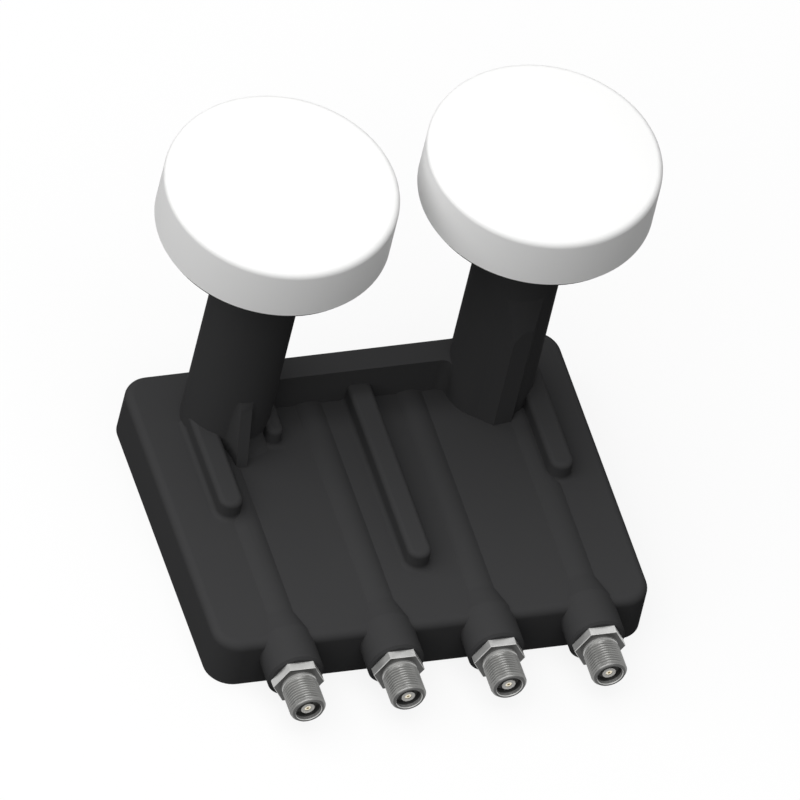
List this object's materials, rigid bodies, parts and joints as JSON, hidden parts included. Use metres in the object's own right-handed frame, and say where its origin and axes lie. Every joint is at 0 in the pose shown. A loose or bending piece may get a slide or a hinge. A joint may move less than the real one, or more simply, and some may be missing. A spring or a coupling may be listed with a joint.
{
  "type": "satellite lnb",
  "caption": "Twin-feed satellite converter: flat ribbed black case, two upright necks with round white weather caps and a row of screw-on coaxial ports along one edge.",
  "frame": {"origin": "middle of the flat outer face of the rear cover", "axes": "+X along the row of ports towards the keeled neck, +Y from the ports to the necks, +Z from the rear cover up to the caps"},
  "size_m": [0.1326, 0.1256, 0.1072],
  "materials": {
    "black_shell": "fine grained, semi-matte black moulding",
    "white_cap": "smooth off-white weather cap",
    "die_cast": "bare die-cast, sand-like grain",
    "lid_sheet": "tinned sheet",
    "laminate": "green board laminate",
    "seal_rubber": "soft black seal",
    "chip_resin": "moulded black resin",
    "screw_steel": "zinc plated",
    "plated_body": "nickel plated, turned",
    "insulator_white": "off-white insulator",
    "contact_bronze": "plated spring contact",
    "probe_copper": "copper strip"
  },
  "bodies": {
    "root": {"front_cover": "black_shell", "rear_cover": "black_shell", "cover_gasket": "seal_rubber", "cover_screw_1": "screw_steel", "cover_screw_2": "screw_steel", "cover_screw_3": "screw_steel", "cover_screw_4": "screw_steel", "cover_screw_5": "screw_steel", "cover_screw_6": "screw_steel", "chassis": "die_cast", "left_feed_horn": "die_cast", "right_feed_horn": "die_cast", "left_cap": "white_cap", "right_cap": "white_cap", "left_cap_seal": "seal_rubber", "right_cap_seal": "seal_rubber", "main_board": "laminate", "left_probe_h": "probe_copper", "left_probe_v": "probe_copper", "right_probe_h": "probe_copper", "right_probe_v": "probe_copper", "left_converter_chip": "chip_resin", "right_converter_chip": "chip_resin", "switch_chip": "chip_resin", "shield_lid": "lid_sheet", "lid_screw_1": "screw_steel", "lid_screw_2": "screw_steel", "lid_screw_3": "screw_steel", "lid_screw_4": "screw_steel", "connector_1": "plated_body", "connector_2": "plated_body", "connector_3": "plated_body", "connector_4": "plated_body", "insulator_1": "insulator_white", "insulator_2": "insulator_white", "insulator_3": "insulator_white", "insulator_4": "insulator_white", "contact_1": "contact_bronze", "contact_2": "contact_bronze", "contact_3": "contact_bronze", "contact_4": "contact_bronze", "connector_seal_1": "seal_rubber", "connector_seal_2": "seal_rubber", "connector_seal_3": "seal_rubber", "connector_seal_4": "seal_rubber"}
  },
  "joints": []
}
